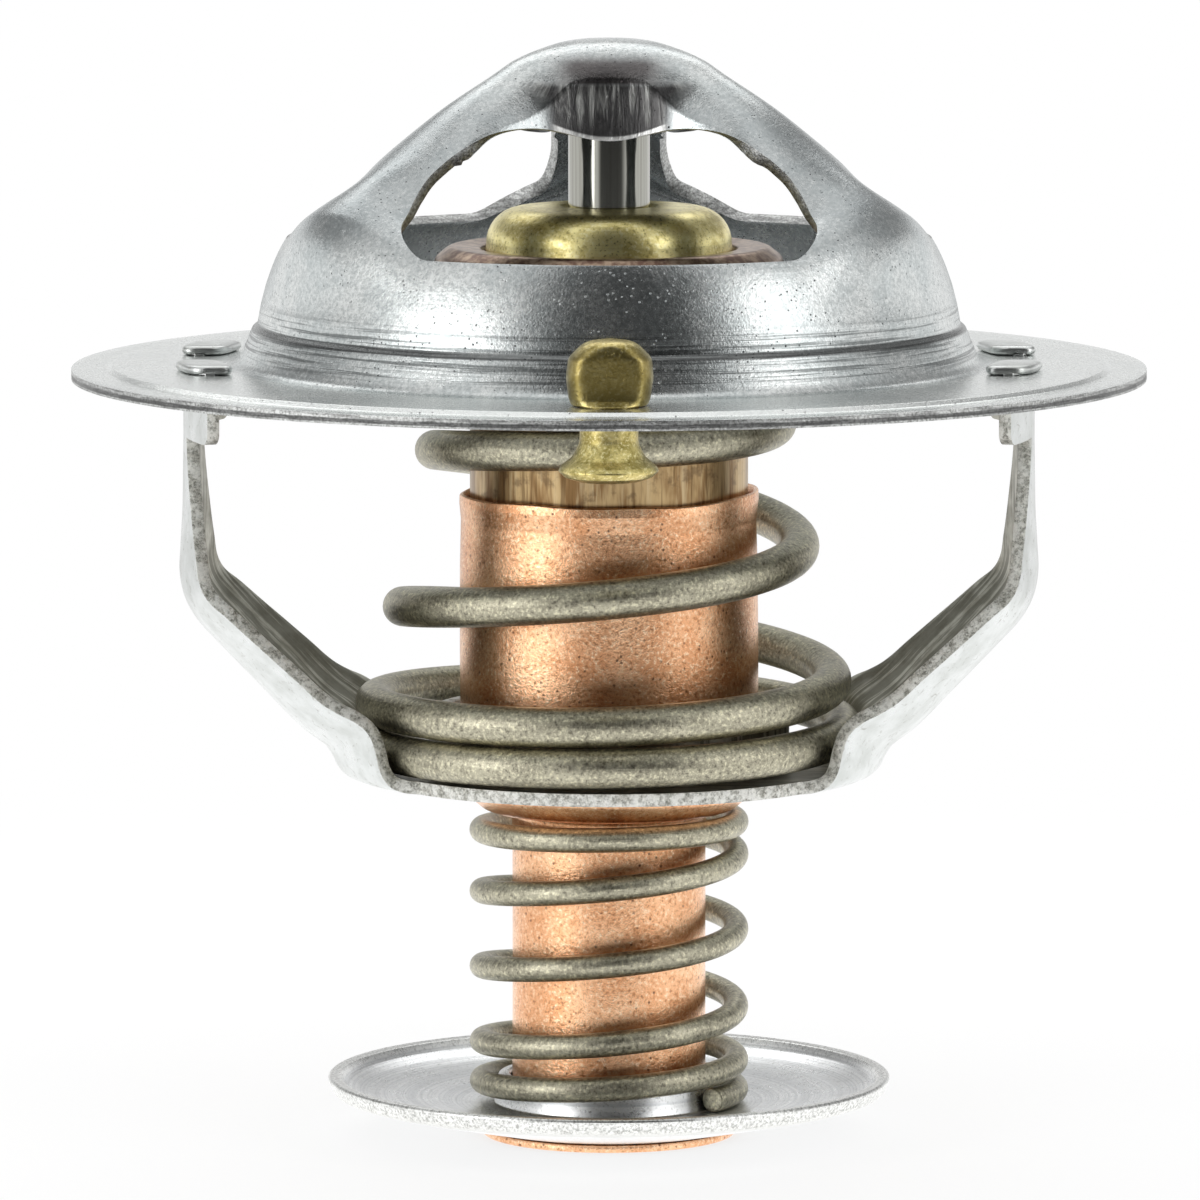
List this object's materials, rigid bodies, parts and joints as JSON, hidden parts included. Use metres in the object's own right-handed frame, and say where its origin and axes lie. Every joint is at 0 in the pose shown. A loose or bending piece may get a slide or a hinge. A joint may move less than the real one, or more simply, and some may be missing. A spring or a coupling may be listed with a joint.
{
  "type": "engine thermostat",
  "caption": "Wax-element coolant thermostat: pressed three-legged bridge and flange, conical valve spring in a bent frame, copper element with a sprung bypass disc, jiggle pin.",
  "frame": {"origin": "centre of the flange's underside, on the axis of the flange, the bridge and the element", "axes": "+Z along the axis, from the flange towards the bridge's crown; the jiggle pin stands on the -Y side, and the frame's two arms on -X and +X"},
  "size_m": [0.054, 0.054, 0.0555],
  "materials": {
    "bridge_steel": "satin pressed and plated steel sheet",
    "frame_steel": "bright plated steel strip with sheared edges",
    "rod_steel": "ground and polished stainless rod",
    "spring_steel": "drawn stainless spring wire, dull olive grey",
    "valve_steel": "pressed steel",
    "bypass_steel": "turned bright steel",
    "case_brass": "brown drawn brass with a brushed grain",
    "cap_brass": "turned brass, slightly tarnished",
    "pin_brass": "cast and pinched brass",
    "copper": "bare drawn copper, fine grained",
    "rubber": "black moulded rubber",
    "washer_plastic": "white low-friction plastic",
    "wax": "copper-filled wax"
  },
  "bodies": {
    "housing": {"bridge_flange": "bridge_steel", "push_rod": "rod_steel", "lower_frame": "frame_steel", "main_spring": "spring_steel"},
    "element": {"main_valve": "valve_steel", "valve_seal": "rubber", "element_case": "case_brass", "guide_cap": "cap_brass", "backup_washer": "washer_plastic", "rubber_sleeve": "rubber", "wax_charge": "wax", "copper_cup": "copper", "foot_cap": "copper", "bypass_spring": "spring_steel"},
    "bypass": {"bypass_disc": "bypass_steel"},
    "vent": {"jiggle_pin": "pin_brass"}
  },
  "joints": [
    {"name": "valve_travel", "type": "slide", "parent": "housing", "child": "element", "axis": [0, 0, -1], "range_m": [0, 0.008], "stiffness_N_per_m": 5600, "springref_m": -0.004, "deforming": ["main_spring"]},
    {"name": "bypass_travel", "type": "slide", "parent": "element", "child": "bypass", "axis": [0, 0, 1], "range_m": [0, 0.006], "stiffness_N_per_m": 1500, "springref_m": -0.003, "deforming": ["bypass_spring"]},
    {"name": "vent_lift", "type": "slide", "parent": "housing", "child": "vent", "axis": [0, 0, 1], "range_m": [0, 0.0014]}
  ]
}
